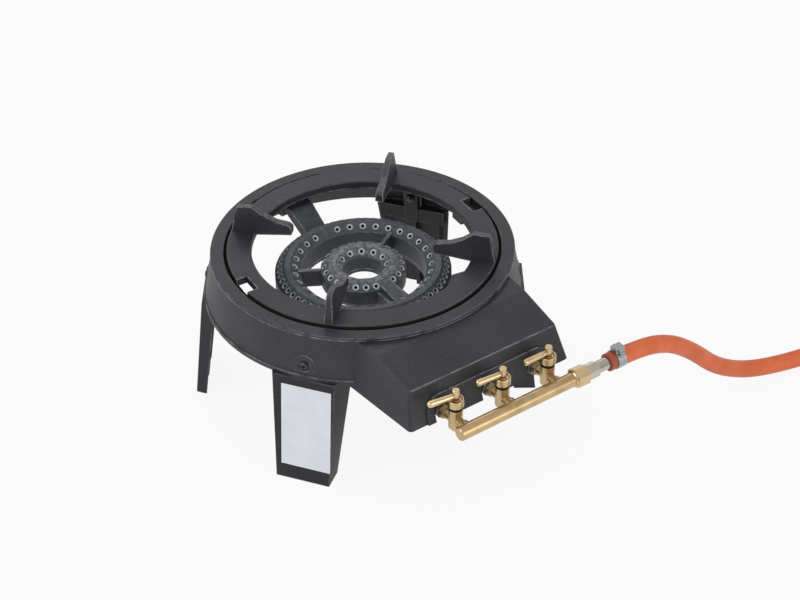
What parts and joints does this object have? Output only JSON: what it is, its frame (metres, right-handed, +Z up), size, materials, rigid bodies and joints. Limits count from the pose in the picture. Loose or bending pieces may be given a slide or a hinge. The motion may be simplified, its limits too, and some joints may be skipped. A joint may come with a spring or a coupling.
{
  "type": "wok burner",
  "caption": "Low cast-iron wok burner on splayed legs with a finned pan support, a ring burner, brass lever taps on a manifold and a rubber gas hose.",
  "frame": {"origin": "on the floor, under the middle of the burner's outline without its hose", "axes": "+Z up, -Y towards the taps and the user, +X to the right, where the hose leaves"},
  "size_m": [0.727, 0.7123, 0.2189],
  "materials": {
    "frame_iron": "satin black, rough cast",
    "support_iron": "satin black, rough cast",
    "burner_iron": "dark grey, rough cast",
    "brass": "bright turned brass",
    "steel": "zinc-plated steel",
    "black_steel": "blackened steel",
    "nickel": "bright nickel plate",
    "seal": "matt",
    "hose_rubber": "satin orange",
    "plate_white": "satin white"
  },
  "bodies": {
    "base": {"frame_casting": "frame_iron", "leg_front_left": "frame_iron", "leg_front_right": "frame_iron", "leg_back_right": "frame_iron", "leg_back_left": "frame_iron", "burner_casting": "burner_iron", "outer_ring_cover": "burner_iron", "inner_ring_cover": "burner_iron", "mixing_tube_left": "burner_iron", "mixing_tube_middle": "burner_iron", "mixing_tube_right": "burner_iron", "manifold_pipe": "brass", "manifold_end_plug": "brass", "manifold_union": "brass", "tap_body_left": "brass", "tap_collar_left": "brass", "tap_nut_left": "brass", "injector_left": "brass", "tap_body_middle": "brass", "tap_collar_middle": "brass", "tap_nut_middle": "brass", "injector_middle": "brass", "tap_body_right": "brass", "tap_collar_right": "brass", "tap_nut_right": "brass", "injector_right": "brass", "supply_nut": "brass", "leg_screws": "black_steel", "leg_nuts": "black_steel", "cover_screws": "steel", "burner_bolts": "steel", "burner_nuts": "steel", "inlet_clamp": "steel", "inlet_clamp_screw": "steel", "supply_clamp": "steel", "supply_clamp_screw": "steel", "hose_tail": "nickel", "supply_tail": "nickel", "tap_washer_left": "seal", "tap_washer_middle": "seal", "tap_washer_right": "seal", "gas_hose": "hose_rubber", "blank_plate": "plate_white"},
    "pan_support": {"pan_support": "support_iron"},
    "tap_left": {"tap_stem_left": "brass", "tap_lever_left": "brass"},
    "tap_middle": {"tap_stem_middle": "brass", "tap_lever_middle": "brass"},
    "tap_right": {"tap_stem_right": "brass", "tap_lever_right": "brass"}
  },
  "joints": [
    {"name": "pan_support_lift", "type": "slide", "parent": "base", "child": "pan_support", "axis": [0, 0, 1], "range_m": [0, 0.08]},
    {"name": "tap_left_turn", "type": "hinge", "parent": "base", "child": "tap_left", "pos_m": [-0.06, -0.20275, 0.137], "axis": [0, 0, 1], "range_deg": [0, 90]},
    {"name": "tap_middle_turn", "type": "hinge", "parent": "base", "child": "tap_middle", "pos_m": [0, -0.20275, 0.137], "axis": [0, 0, 1], "range_deg": [0, 90]},
    {"name": "tap_right_turn", "type": "hinge", "parent": "base", "child": "tap_right", "pos_m": [0.06, -0.20275, 0.137], "axis": [0, 0, 1], "range_deg": [0, 90]}
  ]
}
